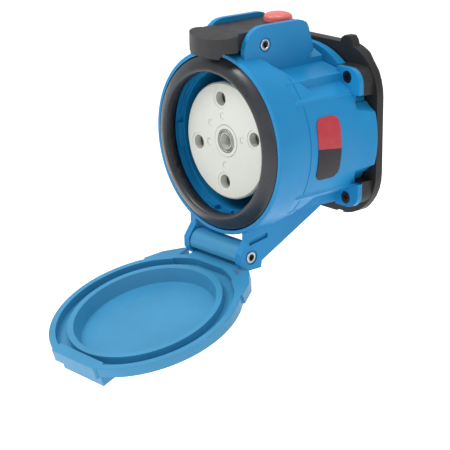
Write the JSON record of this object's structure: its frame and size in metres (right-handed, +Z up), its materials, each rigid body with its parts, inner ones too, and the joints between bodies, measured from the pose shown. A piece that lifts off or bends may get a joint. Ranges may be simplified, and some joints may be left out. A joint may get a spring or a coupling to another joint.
{
  "type": "industrial power receptacle",
  "caption": "Wall-mounted industrial power receptacle with a hinged round lid, push-button latch, face seal, turning safety shutter and mounting plate.",
  "frame": {"origin": "centre of the wall face on the socket axis", "axes": "+Z up, the collar's mouth faces -Y, +X to the right seen from the front"},
  "size_m": [0.1104, 0.1866, 0.1817],
  "materials": {
    "blue_moulding": "satin",
    "black_moulding": "satin",
    "gasket_rubber": "matte",
    "seal_rubber": "satin",
    "white_insulator": "satin",
    "carrier_insulator": "matte",
    "dark_moulding": "satin",
    "red_moulding": "gloss",
    "label": "satin",
    "silver_contact": "bright",
    "nickel": "satin",
    "brass": "satin",
    "steel": "bright"
  },
  "bodies": {
    "housing": {"receptacle_casing": "blue_moulding", "mounting_plate": "black_moulding", "flange_gasket": "gasket_rubber", "wall_gasket": "gasket_rubber", "face_seal": "seal_rubber", "contact_block": "carrier_insulator", "terminal_base": "carrier_insulator", "centre_boss": "carrier_insulator", "ground_sleeve": "nickel", "ground_guide": "white_insulator", "ground_terminal": "brass", "line_terminal_1": "brass", "contact_spring_1": "steel", "line_terminal_2": "brass", "contact_spring_2": "steel", "line_terminal_3": "brass", "contact_spring_3": "steel", "line_terminal_4": "brass", "contact_spring_4": "steel", "flange_screws": "steel", "carrier_screws": "steel", "terminal_screws": "steel", "latch_rivet": "steel", "lid_hinge_rivet": "steel", "rating_label": "label", "shutter_spring": "steel", "latch_spring": "steel", "lid_spring": "steel"},
    "cover": {"lid": "blue_moulding"},
    "latch": {"latch_lever": "dark_moulding", "latch_button": "red_moulding"},
    "shutter": {"shutter_disc": "white_insulator"},
    "contact_1": {"line_contact_1": "silver_contact"},
    "contact_2": {"line_contact_2": "silver_contact"},
    "contact_3": {"line_contact_3": "silver_contact"},
    "contact_4": {"line_contact_4": "silver_contact"}
  },
  "joints": [
    {"name": "lid_hinge", "type": "hinge", "parent": "housing", "child": "cover", "pos_m": [0, -0.0785, -0.062], "axis": [1, 0, 0], "range_deg": [-108, 65], "deforming": ["face_seal", "lid_spring"]},
    {"name": "latch_pivot", "type": "hinge", "parent": "housing", "child": "latch", "pos_m": [0, -0.0617, 0.0556], "axis": [1, 0, 0], "range_deg": [-12, 0], "stiffness_Nm_per_rad": 0.6, "springref_deg": 8.59, "deforming": ["latch_spring"]},
    {"name": "shutter_turn", "type": "hinge", "parent": "housing", "child": "shutter", "pos_m": [0, -0.0729, 0], "axis": [0, 1, 0], "range_deg": [0, 30], "stiffness_Nm_per_rad": 0.05, "springref_deg": -17.19, "deforming": ["shutter_spring"]},
    {"name": "contact_1_press", "type": "slide", "parent": "housing", "child": "contact_1", "axis": [0, 1, 0], "range_m": [0, 0.0025], "stiffness_N_per_m": 1500, "springref_m": -0.004, "deforming": ["contact_spring_1"]},
    {"name": "contact_2_press", "type": "slide", "parent": "housing", "child": "contact_2", "axis": [0, 1, 0], "range_m": [0, 0.0025], "stiffness_N_per_m": 1500, "springref_m": -0.004, "deforming": ["contact_spring_2"]},
    {"name": "contact_3_press", "type": "slide", "parent": "housing", "child": "contact_3", "axis": [0, 1, 0], "range_m": [0, 0.0025], "stiffness_N_per_m": 1500, "springref_m": -0.004, "deforming": ["contact_spring_3"]},
    {"name": "contact_4_press", "type": "slide", "parent": "housing", "child": "contact_4", "axis": [0, 1, 0], "range_m": [0, 0.0025], "stiffness_N_per_m": 1500, "springref_m": -0.004, "deforming": ["contact_spring_4"]}
  ]
}
